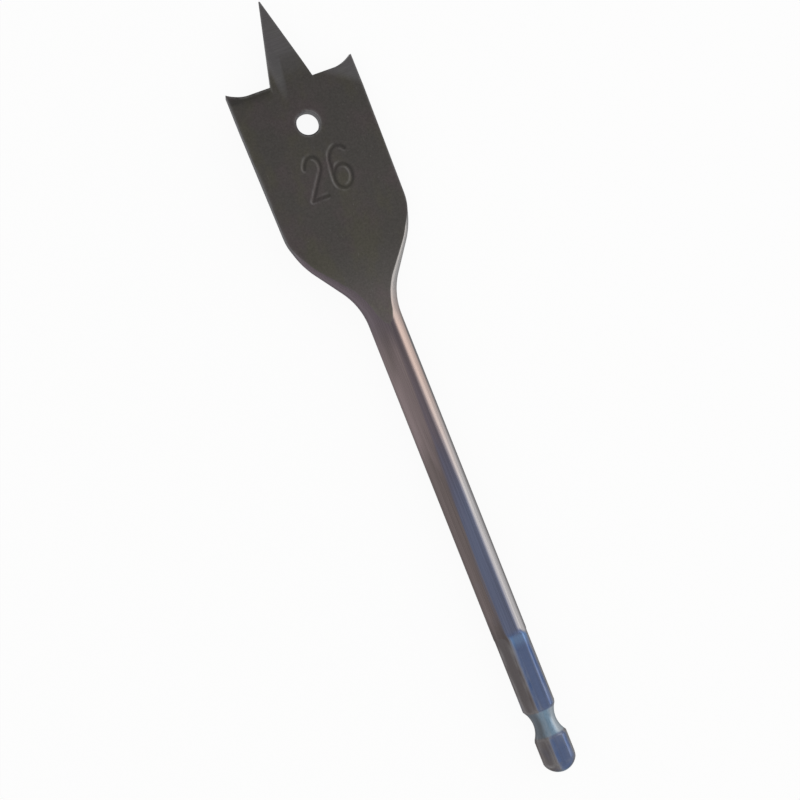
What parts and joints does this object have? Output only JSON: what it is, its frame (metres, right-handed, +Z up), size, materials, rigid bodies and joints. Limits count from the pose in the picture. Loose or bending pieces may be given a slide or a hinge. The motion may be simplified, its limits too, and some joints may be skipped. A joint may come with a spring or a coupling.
{
  "type": "spade drill bit",
  "caption": "Flat wood-boring bit of dark steel: broad forged blade with a long hollow-ground point, cutting lips with raised wings, a hanging hole, round shaft and grooved hex shank.",
  "frame": {"origin": "on the surface that the bit lies on, under the middle of its length and of its width", "axes": "+Y along the bit's axis toward the point, +X across the blade toward the wing that touches the surface, +Z up"},
  "size_m": [0.0258, 0.16, 0.0068],
  "materials": {
    "steel": "dark tempered forging, worn bright on the shaft"
  },
  "bodies": {
    "root": {"spade_bit": "steel"}
  },
  "joints": []
}
